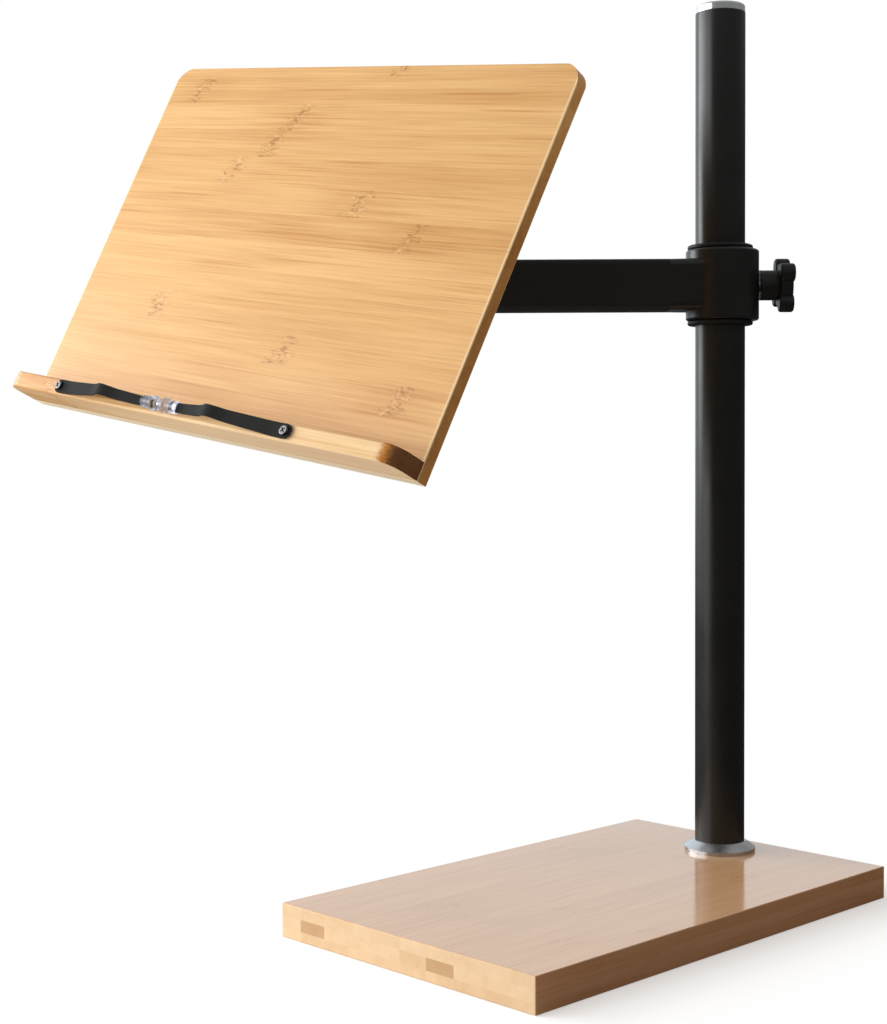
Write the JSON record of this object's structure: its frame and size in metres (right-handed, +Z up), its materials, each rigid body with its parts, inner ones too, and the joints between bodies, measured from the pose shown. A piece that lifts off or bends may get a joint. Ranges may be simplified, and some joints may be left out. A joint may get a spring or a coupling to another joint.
{
  "type": "book stand",
  "caption": "Bamboo book stand: reading board with a ledge and swinging page clips on a tilting head, carried by an arm that a star knob clamps to a black pole on a bamboo base.",
  "frame": {"origin": "middle of the underside of the base board", "axes": "+Z up along the pole, -Y towards the reader, +X to the reader's right, which is the right-hand side of the base"},
  "size_m": [0.4505, 0.3714, 0.5676],
  "materials": {
    "bamboo": "laminated bamboo strips under clear satin lacquer",
    "black_paint": "satin black powder coat",
    "chrome": "bright chrome plate",
    "steel": "zinc plated fasteners",
    "black_plastic": "moulded black plastic",
    "nylon": "natural nylon",
    "brass": "plain turned brass",
    "clear_plastic": "clear moulded plastic"
  },
  "bodies": {
    "stand": {"base_board": "bamboo", "foot_flange": "chrome", "pole_tube": "black_paint", "pole_cap": "chrome", "pole_plug": "steel", "pole_bolt": "steel", "pole_washer": "steel"},
    "bushes": {"upper_bush": "black_plastic", "lower_bush": "black_plastic"},
    "arm": {"collar": "black_paint", "arm_tube": "black_paint", "arm_end_block": "black_paint", "swivel_bolt": "steel", "swivel_nut": "steel", "swivel_washers": "nylon"},
    "clamp_pad": {"clamp_pad": "brass"},
    "clamp_knob": {"clamp_knob": "black_plastic", "clamp_stud": "steel"},
    "fork": {"swivel_fork": "black_paint", "tilt_bolt": "steel", "tilt_washers": "steel"},
    "tilt_knob": {"tilt_knob": "black_plastic"},
    "turntable": {"tilt_block": "black_paint", "turntable_screw": "steel", "turntable_washer": "nylon"},
    "board": {"board_plate": "black_paint", "plate_screws": "steel", "reading_board": "bamboo", "ledge": "bamboo", "ledge_screws": "steel", "left_clip_screw": "steel", "right_clip_screw": "steel", "clip_washers": "nylon"},
    "left_clip": {"left_clip": "black_paint", "left_clip_tip": "clear_plastic"},
    "right_clip": {"right_clip": "black_paint", "right_clip_tip": "clear_plastic"}
  },
  "joints": [
    {"name": "height_slide", "type": "slide", "parent": "stand", "child": "bushes", "axis": [0, 0, 1], "range_m": [-0.13, 0.14]},
    {"name": "arm_swing", "type": "hinge", "parent": "bushes", "child": "arm", "pos_m": [-0.002, 0.127, 0.388], "axis": [0, 0, 1], "continuous": true},
    {"name": "clamp_feed", "type": "slide", "parent": "arm", "child": "clamp_pad", "axis": [0.7022, 0.712, 0], "range_m": [0, 0.00187]},
    {"name": "clamp_turn", "type": "hinge", "parent": "clamp_pad", "child": "clamp_knob", "pos_m": [0.01906, 0.14836, 0.388], "axis": [0.7022, 0.712, 0], "range_deg": [0, 540]},
    {"name": "head_swing", "type": "hinge", "parent": "arm", "child": "fork", "pos_m": [-0.1642, -0.03748, 0.388], "axis": [0, 0, 1], "range_deg": [-80.9, 29.1]},
    {"name": "board_tilt", "type": "hinge", "parent": "fork", "child": "turntable", "pos_m": [-0.16112, -0.06531, 0.388], "axis": [-0.994, -0.1097, 0], "range_deg": [-23.1, 41.9]},
    {"name": "tilt_knob_turn", "type": "hinge", "parent": "fork", "child": "tilt_knob", "pos_m": [-0.181, -0.0675, 0.388], "axis": [-0.994, -0.1097, 0], "range_deg": [0, 270]},
    {"name": "board_turn", "type": "hinge", "parent": "turntable", "child": "board", "pos_m": [-0.15698, -0.10289, 0.40413], "axis": [0.1009, -0.9143, 0.3923], "range_deg": [-81, 99]},
    {"name": "left_clip_swing", "type": "hinge", "parent": "board", "child": "left_clip", "pos_m": [-0.28624, -0.18841, 0.32347], "axis": [0.1009, -0.9143, 0.3923], "range_deg": [0, 95]},
    {"name": "right_clip_swing", "type": "hinge", "parent": "board", "child": "right_clip", "pos_m": [-0.07079, -0.17824, 0.29175], "axis": [-0.1009, 0.9143, -0.3923], "range_deg": [0, 95]}
  ],
  "couplings": [
    {"joint": "clamp_turn", "follows": "clamp_feed", "rad_per_m": 5026.5}
  ]
}
